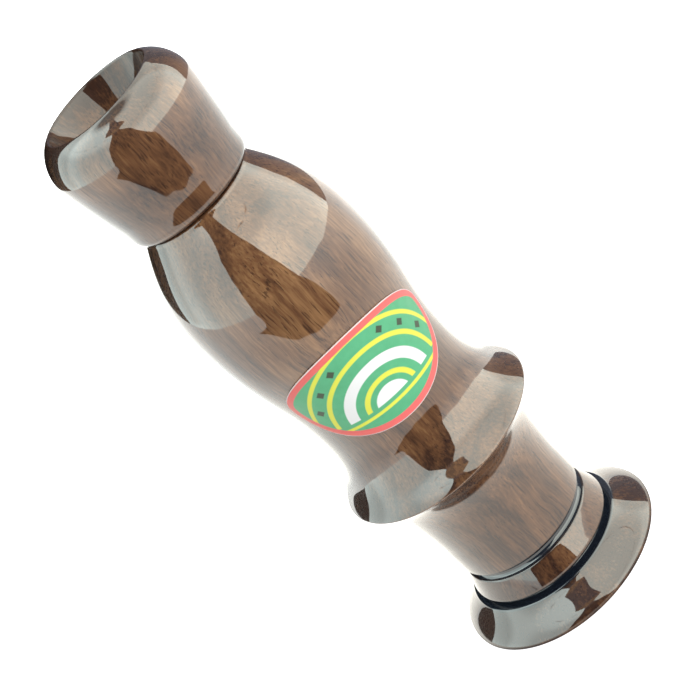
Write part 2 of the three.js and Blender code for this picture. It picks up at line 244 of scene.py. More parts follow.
def stretched(tree, vector, across, along):
    """Coordinates that run across times as fine over the grain, and along times as fine with it."""
    made = tree.nodes.new("ShaderNodeMapping")
    made.inputs["Scale"].default_value = (across, across, along)
    tree.links.new(vector, made.inputs["Vector"])
    return made.outputs[0]


# Walnut, cut along the grain: growth rings from a pith far behind the blank, slow dark figure,
# fine fibres, darker end grain on the slopes, and open pores that show as streaks or as dots.
walnut, given, out = node_group(
    "walnut",
    [
        ("Tone", "float", 0.0),
        ("Ring spacing", "float", 0.0034),
        ("Pore share", "float", 0.6),
    ],
    [("Color", "colour"), ("Roughness", "float"), ("Height", "float")],
)
PITH_ASIDE, PITH_BEHIND = -0.031, 0.058
DARK_WALNUT, PORE_BROWN = (0.036, 0.0150, 0.0090), (0.016, 0.0065, 0.0045)
WALNUT_BROWN, PALE_WALNUT = (0.141, 0.064, 0.0280), (0.292, 0.153, 0.066)
place = on_object(walnut)
place_x, place_y, place_z = parted(walnut, place)
pith_distance = flat_length(
    walnut,
    math_node(walnut, "SUBTRACT", place_x, PITH_ASIDE),
    math_node(walnut, "SUBTRACT", place_y, PITH_BEHIND),
)
leaning = math_node(walnut, "ADD", pith_distance, math_node(walnut, "MULTIPLY", place_z, 0.03))
drift = noise(walnut, stretched(walnut, place, 1, 0.22), 70, 3, 0.55)
wavering = math_node(walnut, "ADD", leaning, math_node(walnut, "MULTIPLY", drift, 0.011))
rings_out = math_node(walnut, "DIVIDE", wavering, given.outputs["Ring spacing"])
ring_wave = math_node(walnut, "SINE", math_node(walnut, "MULTIPLY", rings_out, 2 * math.pi))
late_wood = ramp(walnut, ring_wave, 0.05, 1.0)
figure = noise(walnut, stretched(walnut, place, 1, 0.45), 210, 3, 0.6, 0.6)
flame = noise(walnut, stretched(walnut, place, 1, 0.16), 130, 3, 0.6, 0.3)
curl = walnut.nodes.new("ShaderNodeTexNoise")
curl.inputs["Scale"].default_value = 110
wire(walnut, place, curl.inputs["Vector"])
curl_share = walnut.nodes.new("ShaderNodeVectorMath")
curl_share.operation = "MULTIPLY_ADD"
wire(walnut, curl.outputs["Color"], curl_share.inputs[0])
curl_share.inputs[1].default_value = (0.0016, 0.0016, 0)
wire(walnut, place, curl_share.inputs[2])
curled = curl_share.outputs[0]
fibre = noise(walnut, stretched(walnut, curled, 1, 0.05), 2600, 3, 0.6)
pore_field = noise(walnut, stretched(walnut, curled, 1, 0.06), 3400, 2, 0.5)
pore_zone = noise(walnut, stretched(walnut, place, 1, 0.12), 420, 2, 0.5)


def swing(field, share):
    """A noise field made to swing about zero, times its share."""
    return math_node(walnut, "MULTIPLY", math_node(walnut, "SUBTRACT", field, 0.5), share)


pore_level = math_node(walnut, "SUBTRACT", given.outputs["Pore share"], swing(pore_zone, 0.25))
pore = ramp(walnut, math_node(walnut, "SUBTRACT", pore_field, pore_level), 0.0, 0.06)
mixed = math_node(walnut, "ADD", swing(figure, 0.75), swing(flame, 0.8))
mixed = math_node(walnut, "ADD", mixed, swing(fibre, 1.2))
mixed = math_node(walnut, "SUBTRACT", mixed, math_node(walnut, "MULTIPLY", late_wood, 0.20))
facing = parted(walnut, walnut.nodes.new("ShaderNodeTexCoord").outputs["Normal"])
end_grain = ramp(walnut, math_node(walnut, "ABSOLUTE", facing[2]), 0.15, 0.9, 0.0, 0.30)
mixed = math_node(walnut, "ADD", math_node(walnut, "SUBTRACT", mixed, end_grain), 0.59)
light_share = math_node(walnut, "ADD", mixed, given.outputs["Tone"], clamp=True)
heartwood = blend_colour(
    walnut, ramp(walnut, light_share, 0.0, 0.5, smooth=False), DARK_WALNUT, WALNUT_BROWN
)
heartwood = blend_colour(
    walnut, ramp(walnut, light_share, 0.5, 1.0, smooth=False), heartwood, PALE_WALNUT
)
grained = blend_colour(walnut, math_node(walnut, "MULTIPLY", pore, 0.6), heartwood, PORE_BROWN)
wire(walnut, grained, out.inputs["Color"])
open_grain = math_node(walnut, "MULTIPLY", pore, 0.25)
wire(walnut, math_node(walnut, "ADD", open_grain, 0.42), out.inputs["Roughness"])
raised = math_node(walnut, "MULTIPLY", fibre, 0.35)
wire(walnut, math_node(walnut, "SUBTRACT", raised, pore), out.inputs["Height"])

# Wire-burnt ring: charred black inside the groove, with a brown scorch at its lips.
burnt_ring, given, out = node_group(
    "burnt_ring",
    [("Height", "float", 0.0), ("Half width", "float", 0.0006), ("Least radius", "float", 0.01)],
    [("Char", "float"), ("Scorch", "float")],
)
place = on_object(burnt_ring)
place_x, place_y, place_z = parted(burnt_ring, place)
unsteady = math_node(burnt_ring, "SUBTRACT", noise(burnt_ring, place, 900, 2), 0.5)
shake = math_node(burnt_ring, "MULTIPLY", unsteady, 0.00025)
height = math_node(burnt_ring, "ADD", place_z, shake)
off = math_node(burnt_ring, "ABSOLUTE", math_node(burnt_ring, "SUBTRACT", height, given.outputs["Height"]))
share = math_node(burnt_ring, "DIVIDE", off, given.outputs["Half width"])
outside = math_node(
    burnt_ring, "GREATER_THAN", flat_length(burnt_ring, place_x, place_y), given.outputs["Least radius"]
)
for label, fade_end in (("Char", 1.12), ("Scorch", 1.75)):
    burnt = math_node(burnt_ring, "MULTIPLY", ramp(burnt_ring, share, 0.95, fade_end, 1, 0), outside)
    wire(burnt_ring, burnt, out.inputs[label])


def profile(tree, value, stops):
    """Runs a value smoothly through (value in, value out) stops."""
    low, high = stops[0][0], stops[-1][0]
    levels_out = [level for _, level in stops]
    least, most = min(levels_out), max(levels_out)
    made = tree.nodes.new("ShaderNodeFloatCurve")
    curve = made.mapping.curves[0]
    while len(curve.points) < len(stops):
        curve.points.new(0.5, 0.5)
    for point, (stop, level) in zip(curve.points, stops):
        point.location = ((stop - low) / (high - low), (level - least) / (most - least))
        point.handle_type = "AUTO_CLAMPED"
    made.mapping.update()
    wire(tree, ramp(tree, value, low, high, smooth=False), made.inputs["Value"])
    return ramp(tree, made.outputs[0], 0, 1, least, most, smooth=False)


def new_material(name):
    """A material with its node tree and its Principled shader."""
    material = bpy.data.materials.new(name)
    material.use_nodes = True
    tree = material.node_tree
    return material, tree, tree.nodes["Principled BSDF"]


def bumped(tree, shader, height, strength, depth):
    """Feeds a height map, depth metres deep, into the shader's normal."""
    bump = tree.nodes.new("ShaderNodeBump")
    bump.inputs["Strength"].default_value = strength
    bump.inputs["Distance"].default_value = depth
    wire(tree, height, bump.inputs["Height"])
    wire(tree, bump.outputs[0], shader.inputs["Normal"])


def lacquered_walnut(name, tones, rings=(), bored_radius=0.0):
    """Walnut under thick clear lacquer: tones along it, burnt rings at (height, half width) in mm.

    The -X side of the blank is painted darker, as painted shade for the call's shaded left side. Within
    bored_radius of the axis the lacquer is thin, and the wood keeps a darker, tooled surface.
    """
    material, tree, shader = new_material(name)
    shader.inputs["IOR"].default_value = 1.5
    shader.inputs["Specular IOR Level"].default_value = 0.05
    shader.inputs["Coat Weight"].default_value = 1.0
    shader.inputs["Coat Roughness"].default_value = 0.035
    shader.inputs["Coat IOR"].default_value = 1.6
    wood = tree.nodes.new("ShaderNodeGroup")
    wood.node_tree = walnut
    x, y, z = parted(tree, on_object(tree))
    tone = profile(tree, z, [(height * MM, value) for height, value in tones])
    # Painted shade: the tone drops by up to 0.34 towards the -X side, which the camera sees on the left.
    painted_left_shade = ramp(tree, x, -0.0145, -0.007, -0.34, 0.0)
    tone = math_node(tree, "ADD", tone, painted_left_shade)
    if bored_radius:
        outer_skin = ramp(tree, flat_length(tree, x, y), bored_radius * MM, (bored_radius + 1.6) * MM)
        wire(tree, ramp(tree, outer_skin, 0, 1, 0.6, 1.0, smooth=False), shader.inputs["Coat Weight"])
        tone = math_node(tree, "ADD", tone, ramp(tree, outer_skin, 0, 1, -0.16, 0.0, smooth=False))
    wire(tree, tone, wood.inputs["Tone"])
    colour = wood.outputs["Color"]
    for height, half in rings:
        ring = tree.nodes.new("ShaderNodeGroup")
        ring.node_tree = burnt_ring
        ring.inputs["Height"].default_value = height * MM
        ring.inputs["Half width"].default_value = half * MM
        scorch = math_node(tree, "MULTIPLY", ring.outputs["Scorch"], 0.55)
        scorched = blend_colour(tree, scorch, colour, (0.012, 0.006, 0.005))
        colour = blend_colour(tree, ring.outputs["Char"], scorched, (0.008, 0.012, 0.020))
    wire(tree, colour, shader.inputs["Base Color"])
    wire(tree, wood.outputs["Roughness"], shader.inputs["Roughness"])
    bumped(tree, shader, wood.outputs["Height"], 0.4, 0.00005)
    return material


barrel.data.materials.append(lacquered_walnut(
    "barrel_walnut",
    (
        (0, -0.30), (4, -0.28), (9, -0.27), (20, -0.26), (34, -0.09),
        (42, -0.14), (60, -0.05), (70, 0.08), (82, 0.03), (90, -0.03),
    ),
    ((5.64, 0.6), (11.13, 0.82)),
))
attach(barrel, "barrel")
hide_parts("barrel")


# Sticker. Die-cut white vinyl with gloss ink, pressed round the front of the waist by hand:
# rounded above, half an oval below. Ink: coral rim, green field, and a generic sunrise of arcs.
LABEL_MIDDLE, LABEL_RISE, LABEL_FALL, LABEL_REACH = 56.8, 6.86, 11.16, 15.09
LABEL_TILT, LABEL_ASIDE = math.radians(-2.5), 0.1
GLUE_LIFT, EDGE_LIFT, FACE_LIFT = 0.05, 0.24, 0.30
PRINT_SPAN, RIM_SPAN = 40, 4
belly_curve = np.array([WAIST, *belly_side])
flare_curve = np.array([FLANGE_TIP, *flare_side])


def waist_radius(height):
    """The barrel's radius at a height between the flange and the belly, in mm."""
    low = np.interp(height, flare_curve[:, 1], flare_curve[:, 0])
    high = np.interp(height, belly_curve[:, 1], belly_curve[:, 0])
    return np.where(height < WAIST[1], low, high)


def label_outline(count):
    """Points of the sticker's outline as (across, up) in mm from its middle, anticlockwise."""
    angle = np.linspace(0, 2 * math.pi, count, endpoint=False)
    s, c = np.sin(angle), np.cos(angle)
    full = np.where(s < 0, 2.04, 1.92)
    across = LABEL_REACH * np.sign(c) * np.abs(c) ** (2 / full)
    up = np.where(s < 0, LABEL_FALL, LABEL_RISE) * np.sign(s) * np.abs(s) ** (2 / full)
    return np.stack([across, up], axis=1)


def inset(points, distance):
    """The closed outline moved inwards by a distance, with its points kept in order."""
    along = np.roll(points, -1, axis=0) - np.roll(points, 1, axis=0)
    along /= np.linalg.norm(along, axis=1)[:, None]
    return points + distance * np.stack([-along[:, 1], along[:, 0]], axis=1)


RIM_POINTS = 220
outer = label_outline(RIM_POINTS)
ring_depths = [0.0, 0.06, 0.25, 0.5, 0.8, 1.15, 1.5]
INNER_DEPTH = 2.5
rim_loops = [inset(outer, depth) for depth in ring_depths]
field_loops = [rim_loops[-1] * shrink for shrink in np.linspace(0.92, 0.06, 22)]
loops = rim_loops + field_loops
surface = np.array([*np.concatenate(loops), (0.0, 0.0)])
loop_depths = ring_depths + [INNER_DEPTH] * len(field_loops)
edge_depth = [*np.repeat(loop_depths, RIM_POINTS), INNER_DEPTH]


def on_waist(points, lift):
    """Places label points on the barrel's waist, lift mm off the wood."""
    turn_c, turn_s = math.cos(LABEL_TILT), math.sin(LABEL_TILT)
    across = LABEL_ASIDE + points[:, 0] * turn_c - points[:, 1] * turn_s
    height = LABEL_MIDDLE + points[:, 0] * turn_s + points[:, 1] * turn_c
    radius = waist_radius(height)
    angle = across / radius
    return np.stack(
        [(radius + lift) * np.sin(angle), -(radius + lift) * np.cos(angle), height], axis=1
    ) * MM


rounding = np.where(np.arange(len(surface)) < RIM_POINTS, EDGE_LIFT, FACE_LIFT)
label_vertices = [*on_waist(surface, rounding), *on_waist(surface, GLUE_LIFT)]
label_faces = []
for ring in range(len(loops) - 1):
    for i in range(RIM_POINTS):
        j = (i + 1) % RIM_POINTS
        a, b = ring * RIM_POINTS, (ring + 1) * RIM_POINTS
        label_faces.append((a + i, a + j, b + j, b + i))
last = (len(loops) - 1) * RIM_POINTS
middle = len(surface) - 1
skirt = len(surface)
for i in range(RIM_POINTS):
    j = (i + 1) % RIM_POINTS
    label_faces.append((last + i, last + j, middle))
glued_side = [tuple(index + skirt for index in reversed(face)) for face in label_faces]
cut_edge = []
for i in range(RIM_POINTS):
    j = (i + 1) % RIM_POINTS
    cut_edge.append((skirt + i, skirt + j, j, i))
label_faces += glued_side + cut_edge
sticker = mesh_object("waist_sticker", label_vertices, label_faces)
print_map = sticker.data.uv_layers.new(name="print")
rim_map = sticker.data.uv_layers.new(name="rim")
for corner in sticker.data.loops:
    index = corner.vertex_index % skirt
    across, up = surface[index]
    print_map.data[corner.index].uv = (across / PRINT_SPAN + 0.5, up / PRINT_SPAN + 0.5)
    rim_map.data[corner.index].uv = (edge_depth[index] / RIM_SPAN, 0.5)

vinyl, tree, shader = new_material("printed_vinyl")
shader.inputs["Specular IOR Level"].default_value = 0.2


def uv_place(name):
    """The two coordinates of one of the sticker's maps."""
    made = tree.nodes.new("ShaderNodeUVMap")
    made.uv_map = name
    return parted(tree, made.outputs[0])[:2]


def band(value, middle_at, half, soft=0.09):
    """1 where the value is within half of middle_at, with a soft printed edge."""
    gap = math_node(tree, "ABSOLUTE", math_node(tree, "SUBTRACT", value, middle_at))
    return ramp(tree, gap, half - soft, half + soft, 1, 0)


u, v = uv_place("print")
across = math_node(tree, "MULTIPLY", math_node(tree, "SUBTRACT", u, 0.5), PRINT_SPAN)
up = math_node(tree, "MULTIPLY", math_node(tree, "SUBTRACT", v, 0.5), PRINT_SPAN)
depth = math_node(tree, "MULTIPLY", uv_place("rim")[0], RIM_SPAN)

# The print, in mm: arcs round a sun on the horizon, a line under them, six small marks and the rim.
HORIZON, MARK_COLUMN, MARK_SIZE, PRINTED_RIM, BARE_EDGE = -7.4, 8.0, 0.75, 1.2, 0.15
YELLOW, WHITE, CORAL = (0.78, 0.80, 0.09), (0.88, 0.90, 0.89), (0.84, 0.16, 0.15)
SHADE, CUT_VINYL = (0.05, 0.075, 0.045), (0.86, 0.72, 0.70)
risen = math_node(tree, "SUBTRACT", up, HORIZON)
from_sun = flat_length(tree, across, risen)
above_horizon = ramp(tree, risen, 0.55, 0.7)
ink = blend_colour(tree, noise(tree, on_object(tree), 700, 3), (0.085, 0.40, 0.195), (0.120, 0.49, 0.250))
for middle_at, half, colour in (
    (1.5, 1.5, WHITE), (4.4, 0.42, YELLOW), (7.1, 0.9, WHITE), (10.2, 0.4, YELLOW), (13.3, 0.36, YELLOW),
):
    drawn = math_node(tree, "MULTIPLY", band(from_sun, middle_at, half), above_horizon)
    ink = blend_colour(tree, drawn, ink, colour)
ink = blend_colour(tree, band(risen, -0.35, 0.28), ink, YELLOW)
side_x = math_node(tree, "SUBTRACT", math_node(tree, "ABSOLUTE", across), MARK_COLUMN)
for mark_x, mark_up in ((0.3, 0.9), (2.65, -2.4), (-3.1, 3.2)):
    from_mark = math_node(
        tree, "ADD",
        math_node(tree, "ABSOLUTE", math_node(tree, "SUBTRACT", side_x, mark_x)),
        math_node(tree, "ABSOLUTE", math_node(tree, "SUBTRACT", up, mark_up)),
    )
    ink = blend_colour(tree, ramp(tree, from_mark, MARK_SIZE - 0.12, MARK_SIZE + 0.12, 1, 0), ink, SHADE)
ink = blend_colour(tree, ramp(tree, depth, PRINTED_RIM - 0.08, PRINTED_RIM + 0.08, 1, 0), ink, CORAL)
ink = blend_colour(tree, ramp(tree, depth, BARE_EDGE - 0.05, BARE_EDGE + 0.05, 1, 0), ink, CUT_VINYL)
wire(tree, ink, shader.inputs["Base Color"])
press = noise(tree, on_object(tree), 420, 2)
wire(tree, ramp(tree, press, 0.3, 0.7, 0.30, 0.42), shader.inputs["Roughness"])
bumped(tree, shader, press, 0.25, 0.00002)
sticker.data.materials.append(vinyl)
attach(sticker, "barrel")
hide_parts("barrel_label")


# O-rings. Two black nitrile rings with a moulded parting line, stretched into grooves of the tenon;
# they grip the socket and let the mouthpiece turn and pull out.
UPPER_RING, LOWER_RING = 85.2, 76.7
RING_RADIUS, CORD_RADIUS, FLASH = 7.18, 0.68, 0.03
CORD_SIDES = 28


def o_ring(name, height):
    """An O-ring round the tenon at a height in mm, with the moulding flash inside and outside."""
    outline = []
    for i in range(CORD_SIDES):
        angle = 2 * math.pi * i / CORD_SIDES
        flash = FLASH if i in (0, CORD_SIDES // 2) else 0.0
        reach = CORD_RADIUS + flash
        outline.append((RING_RADIUS + reach * math.cos(angle), height + CORD_RADIUS * math.sin(angle)))
    return turned(name, outline, segments=120)


nitrile, tree, shader = new_material("nitrile_rubber")
shader.inputs["Specular IOR Level"].default_value = 0.4
place = on_object(tree)
dust = noise(tree, place, 900, 4, 0.6)
dusty = blend_colour(tree, ramp(tree, dust, 0.45, 0.8), (0.010, 0.010, 0.011), (0.045, 0.043, 0.040))
wire(tree, dusty, shader.inputs["Base Color"])
wire(tree, ramp(tree, dust, 0.3, 0.8, 0.42, 0.62), shader.inputs["Roughness"])
bumped(tree, shader, noise(tree, place, 5000, 2), 0.4, 0.00003)
for ring_name, node_name, ring_height in (
    ("upper_o_ring", "tenon_ring_upper", UPPER_RING),
    ("lower_o_ring", "tenon_ring_lower", LOWER_RING),
):
    ring = o_ring(ring_name, ring_height)
    ring.data.materials.append(nitrile)
    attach(ring, "seal_rings")
    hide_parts(node_name)


# Reed sleeve. Drawn brass tube, cut to length, its ends turned and lightly chamfered;
# pressed into the lower end of the mouthpiece's bore so that it stands just proud.
FOOT_CHAMFER, TOP_CHAMFER = 71.02, 82.78
sleeve = turned(
    "brass_reed_sleeve",
    [
        (4.55, FOOT_CHAMFER), (4.67, 70.9), (4.78, 70.9), (4.9, FOOT_CHAMFER),
        *straight((4.9, FOOT_CHAMFER), (4.9, TOP_CHAMFER), 1.5),
        (4.78, 82.9), (4.67, 82.9),
        *straight((4.55, TOP_CHAMFER), (4.55, 72.4), 1.5),
    ],
    segments=120,
)
metal_wear, given, out = node_group(
    "metal_wear",
    [
        ("Bright", "colour", (0.8, 0.6, 0.3, 1)),
        ("Dull", "colour", (0.4, 0.3, 0.15, 1)),
        ("Scale", "float", 700.0),
    ],
    [("Color", "colour"), ("Roughness", "float"), ("Height", "float")],
)
place = on_object(metal_wear)
tarnish = metal_wear.nodes.new("ShaderNodeTexNoise")
tarnish.inputs["Detail"].default_value = 4
wire(metal_wear, place, tarnish.inputs["Vector"])
wire(metal_wear, given.outputs["Scale"], tarnish.inputs["Scale"])
spread = ramp(metal_wear, tarnish.outputs["Fac"], 0.35, 0.75)
drawn_lines = noise(metal_wear, stretched(metal_wear, place, 1, 0.02), 6000, 2)
tarnished = blend_colour(metal_wear, spread, given.outputs["Bright"], given.outputs["Dull"])
wire(metal_wear, tarnished, out.inputs["Color"])
dullness = math_node(metal_wear, "MULTIPLY", spread, 0.2)
scratched = math_node(metal_wear, "MULTIPLY", drawn_lines, 0.3)
wire(metal_wear, math_node(metal_wear, "ADD", dullness, scratched), out.inputs["Roughness"])
wire(metal_wear, drawn_lines, out.inputs["Height"])


def worn_metal(name, bright, dull, scale):
    """Drawn or rolled metal, bright with patches of dull tarnish, scale patches a metre."""
    material, tree, shader = new_material(name)
    shader.inputs["Metallic"].default_value = 1.0
    wear = tree.nodes.new("ShaderNodeGroup")
    wear.node_tree = metal_wear
    wear.inputs["Bright"].default_value = (*bright, 1)
    wear.inputs["Dull"].default_value = (*dull, 1)
    wear.inputs["Scale"].default_value = scale
    wire(tree, wear.outputs["Color"], shader.inputs["Base Color"])
    wire(tree, wear.outputs["Roughness"], shader.inputs["Roughness"])
    bumped(tree, shader, wear.outputs["Height"], 0.2, 0.00001)
    return material


sleeve.data.materials.append(worn_metal("drawn_brass", (0.76, 0.55, 0.24), (0.42, 0.28, 0.12), 500))
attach(sleeve, "mouthpiece")
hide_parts("reed_sleeve")


# Tone trough, reed wedge and reed: the voice. The trough and the wedge are injection-moulded
# half rounds, black and dark brown; the reed is a strip of phosphor bronze between them.
moulded, given, out = node_group(
    "moulded_plastic",
    [("Shade", "colour", (0.02, 0.02, 0.02, 1)), ("Grain", "float", 1800.0)],
    [("Color", "colour"), ("Roughness", "float"), ("Height", "float")],
)
place = on_object(moulded)
grain = moulded.nodes.new("ShaderNodeTexNoise")
grain.inputs["Detail"].default_value = 3
wire(moulded, place, grain.inputs["Vector"])
wire(moulded, given.outputs["Grain"], grain.inputs["Scale"])
rubbed = noise(moulded, place, 300, 3)
rubbed_share = math_node(moulded, "MULTIPLY", ramp(moulded, rubbed, 0.5, 0.8), 0.25)
greyed = blend_colour(moulded, rubbed_share, given.outputs["Shade"], (0.09, 0.085, 0.08))
wire(moulded, greyed, out.inputs["Color"])
wire(moulded, ramp(moulded, rubbed, 0.3, 0.8, 0.28, 0.5), out.inputs["Roughness"])
wire(moulded, grain.outputs["Fac"], out.inputs["Height"])


def moulded_plastic(name, shade, grain_scale):
    """Satin moulded plastic with a fine grain, rubbed a little grey."""
    material, tree, shader = new_material(name)
    skin = tree.nodes.new("ShaderNodeGroup")
    skin.node_tree = moulded
    skin.inputs["Shade"].default_value = (*shade, 1)
    skin.inputs["Grain"].default_value = grain_scale
    wire(tree, skin.outputs["Color"], shader.inputs["Base Color"])
    wire(tree, skin.outputs["Roughness"], shader.inputs["Roughness"])
    bumped(tree, shader, skin.outputs["Height"], 0.3, 0.00002)
    return material


for node_name, material in (
    ("tone_trough", moulded_plastic("trough_plastic", (0.012, 0.012, 0.013), 2500)),
    ("reed_wedge", moulded_plastic("wedge_plastic", (0.030, 0.021, 0.016), 1800)),
    ("reed", worn_metal("phosphor_bronze", (0.80, 0.50, 0.22), (0.46, 0.24, 0.10), 900)),
):
    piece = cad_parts[node_name]
    piece.data.materials.clear()
    piece.data.materials.append(material)


# Mouthpiece. Turned from the same blank as the barrel, so the grain runs on across the joint:
# a cup with a rolled lip for the mouth, a throat bored through, and the tenon with its ring grooves.
TENON_RADIUS, TENON_SHOULDER, TENON_FOOT = 7.7, 90.2, 71.5
RING_SEAT, GROOVE_HALF, LAND_TOP = 6.36, 0.9, 1.6
THROAT_RADIUS, THROAT_TOP = 5.2, 98.85
LIP_SIDE, CUP_FOOT = (13.03, 104.7), (11.45, 94.2)


def ring_groove(height):
    """The land above an O-ring's groove and the groove itself, for a ring at a height in mm."""
    top, bottom = height + GROOVE_HALF, height - GROOVE_HALF
    return [
        *straight((TENON_RADIUS, height + LAND_TOP), (TENON_RADIUS, top), 0.5),
        *straight((TENON_RADIUS, top), (RING_SEAT, top), 0.5),
        *straight((RING_SEAT, top), (RING_SEAT, bottom), 0.6),
        *straight((RING_SEAT, bottom), (TENON_RADIUS, bottom), 0.5),
    ]


lip = cubic((9.6, 110.35), (11.45, 109.55), (13.03, 107.1), LIP_SIDE, 34)
cup_side = cubic(LIP_SIDE, (13.03, 102.95), (11.77, 95.7), CUP_FOOT, 34)
cup_base = [
    *cubic(CUP_FOOT, (11.32, 93.6), (11.21, 92.4), (11.17, 91.6), 12),
    *cubic((11.17, 91.6), (11.08, 90.75), (10.75, TENON_SHOULDER), (9.9, TENON_SHOULDER), 12),
]
seat = straight((9.9, TENON_SHOULDER), (TENON_RADIUS, TENON_SHOULDER), 0.8)
tenon = [
    *ring_groove(UPPER_RING),
    *straight((TENON_RADIUS, UPPER_RING - GROOVE_HALF), (TENON_RADIUS, LOWER_RING + LAND_TOP), 2),
    *ring_groove(LOWER_RING),
    *straight((TENON_RADIUS, LOWER_RING - GROOVE_HALF), (TENON_RADIUS, 72.2), 2),
    *straight((TENON_RADIUS, 72.2), (7.0, TENON_FOOT), 0.5),
    *straight((7.0, TENON_FOOT), (THROAT_RADIUS, TENON_FOOT), 0.7),
]
throat = straight((THROAT_RADIUS, TENON_FOOT), (THROAT_RADIUS, THROAT_TOP), 2)
funnel = cubic((THROAT_RADIUS, THROAT_TOP), (5.8, 102.05), (8.1, 106.35), (9.2, 109.9), 32)
crest = edge((9.22, 109.97), (9.36, 110.33), (9.6, 110.35), 5)[:-1]
mouthpiece = turned(
    "turned_mouthpiece",
    (lip + cup_side + cup_base + seat + tenon + throat + funnel + crest)[::-1],
    wave_depth=0.010,
    seed=9,
)
mouthpiece.data.materials.append(lacquered_walnut(
    "mouthpiece_walnut",
    ((71, -0.10), (90, -0.20), (98, -0.26), (104, 0.04), (107, -0.10), (111, -0.30)),
    bored_radius=9.3,
))
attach(mouthpiece, "mouthpiece")
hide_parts("mouthpiece")


# Studio. The call stands on a white sheet inside a light tent that is open towards the camera;
# the tent is seen only in the gloss, and soft lamps and the world light the call itself.
def emission(name, colour, strength):
    """A material that only glows."""
    material = bpy.data.materials.new(name)
    material.use_nodes = True
    tree = material.node_tree
    tree.nodes.clear()
    glow = tree.nodes.new("ShaderNodeEmission")
    glow.inputs["Color"].default_value = (*colour, 1)
    glow.inputs["Strength"].default_value = strength
    end = tree.nodes.new("ShaderNodeOutputMaterial")
    wire(tree, glow.outputs[0], end.inputs[0])
    return material


FLOOR_HALF = 3.0
floor_corners = [(x * FLOOR_HALF, y * FLOOR_HALF, 0) for x, y in ((-1, -1), (1, -1), (1, 1), (-1, 1))]
floor = mesh_object("floor", floor_corners, [(0, 1, 2, 3)], smooth=False)
floor.location.z = -0.0001
sheet, tree, shader = new_material("white_sheet")
shader.inputs["Specular IOR Level"].default_value = 0.1
shader.inputs["Roughness"].default_value = 0.8
paper = noise(tree, on_object(tree), 40, 3)
white = blend_colour(tree, paper, (0.80, 0.80, 0.80), (0.84, 0.84, 0.84))
wire(tree, white, shader.inputs["Base Color"])
path = tree.nodes.new("ShaderNodeLightPath")
shader.inputs["Emission Color"].default_value = (1, 1, 1, 1)
seen = math_node(tree, "MULTIPLY", path.outputs["Is Camera Ray"], 0.95)
seen = math_node(tree, "ADD", seen, path.outputs["Is Glossy Ray"])
seen = math_node(tree, "ADD", seen, path.outputs["Is Transmission Ray"])
wire(tree, seen, shader.inputs["Emission Strength"])
floor.data.materials.append(sheet)

# The tent, by levels of elevation in degrees: at each, the azimuths where its front gap begins and
# ends and, low down, where its two panels end behind. Each kind is a place in its list of materials.
TENT_MIDDLE, TENT_RADIUS, TENT_FOOT, FOOT_LIFT = Vector((0, 0, 0.088)), 0.62, 0.42, 0.0006
LEFT, RIGHT, DARK, DIM, SEAM, WARM = range(6)
levels = [-12, -8, 0, 10, 20, 27, 34, 41, 45, 47.5, 50, 56, 62, 70, 89]
gap_left = [-43, -42, -41, -39.5, -37.5, -36.5, -32, -27, -24, -23, -37, -35, -26, -25, -20]
gap_right = [18, 17, 14, 11, 8, 6.5, 3, -3.5, -7, -8, 6, 4, -4, -5, -12]
gap_kind = [DARK] * 8 + [DIM, WARM, DIM, DIM, DIM, SEAM]
back_left = [-125, -127, -127, -127, -130, -134, -138, -141, -146]
back_right = [112, 112, 113, 116, 120, 124, 133]


def tent_point(azimuth, elevation):
    """A point of the tent: on the floor at its foot, and on a sphere above it."""
    a, e = math.radians(azimuth), math.radians(elevation)
    if elevation == levels[0]:
        return Vector((TENT_FOOT * math.sin(a), -TENT_FOOT * math.cos(a), FOOT_LIFT))
    outward = Vector((math.sin(a) * math.cos(e), -math.cos(a) * math.cos(e), math.sin(e)))
    return TENT_MIDDLE + TENT_RADIUS * outward


def tent_stops(level, band_level):
    """Azimuths and materials round the tent at one level of the band that starts at band_level."""
    left, right = gap_left[level], gap_right[level]
    has_left, has_right = band_level < len(back_left) - 1, band_level < len(back_right) - 1
    dark_left = back_left[level] if has_left else -180
    dark_right = back_right[level] if has_right else 180
    return (
        [(-180 + (dark_left + 180) * i / 3, DARK) for i in range(3)]
        + [(dark_left + (left - dark_left) * i / 7, LEFT) for i in range(7)]
        + [(left, gap_kind[band_level])]
        + [(right + (dark_right - right) * i / 7, RIGHT) for i in range(7)]
        + [(dark_right + (180 - dark_right) * i / 3, DIM) for i in range(4)]
    )


tent_vertices, tent_faces, tent_slots = [], [], []
for level in range(len(levels) - 1):
    low, high = tent_stops(level, level), tent_stops(level + 1, level)
    for (a0, kind), (a1, _), (b0, _), (b1, _) in zip(low, low[1:], high, high[1:]):
        if a0 == a1:
            continue
        base = len(tent_vertices)
        foot, head = levels[level], levels[level + 1]
        tent_vertices += [tent_point(a0, foot), tent_point(a1, foot)]
        tent_vertices += [tent_point(b1, head), tent_point(b0, head)]
        tent_faces.append((base, base + 1, base + 2, base + 3))
        tent_slots.append(kind)
tent = mesh_object("light_tent", tent_vertices, tent_faces, smooth=False)
PANEL_HEIGHTS = (0.29, 0.42, 0.50, 0.645, 0.685)
for name, colour, strengths, side_gain in (
    ("left_panel", (0.87, 1.0, 0.96), (4.2, 4.6, 6.3, 7.2, 0.9), 1.22),
    ("right_panel", (0.96, 1.0, 0.90), (6.3, 4.8, 4.9, 5.2, 0.9), 1.0),
):
    panel = emission(name, colour, 1.0)
    tree = panel.node_tree
    _, tent_y, tent_z = parted(tree, on_object(tree))
    panel_glow = profile(tree, tent_z, list(zip(PANEL_HEIGHTS, strengths)))
    beside = ramp(tree, tent_y, -0.12, 0.08, 1.0, side_gain)
    behind = ramp(tree, tent_y, 0.14, 0.24, 1.0, 0.7)
    panel_glow = math_node(tree, "MULTIPLY", math_node(tree, "MULTIPLY", panel_glow, beside), behind)
    wire(tree, panel_glow, tree.nodes["Emission"].inputs["Strength"])
    tent.data.materials.append(panel)
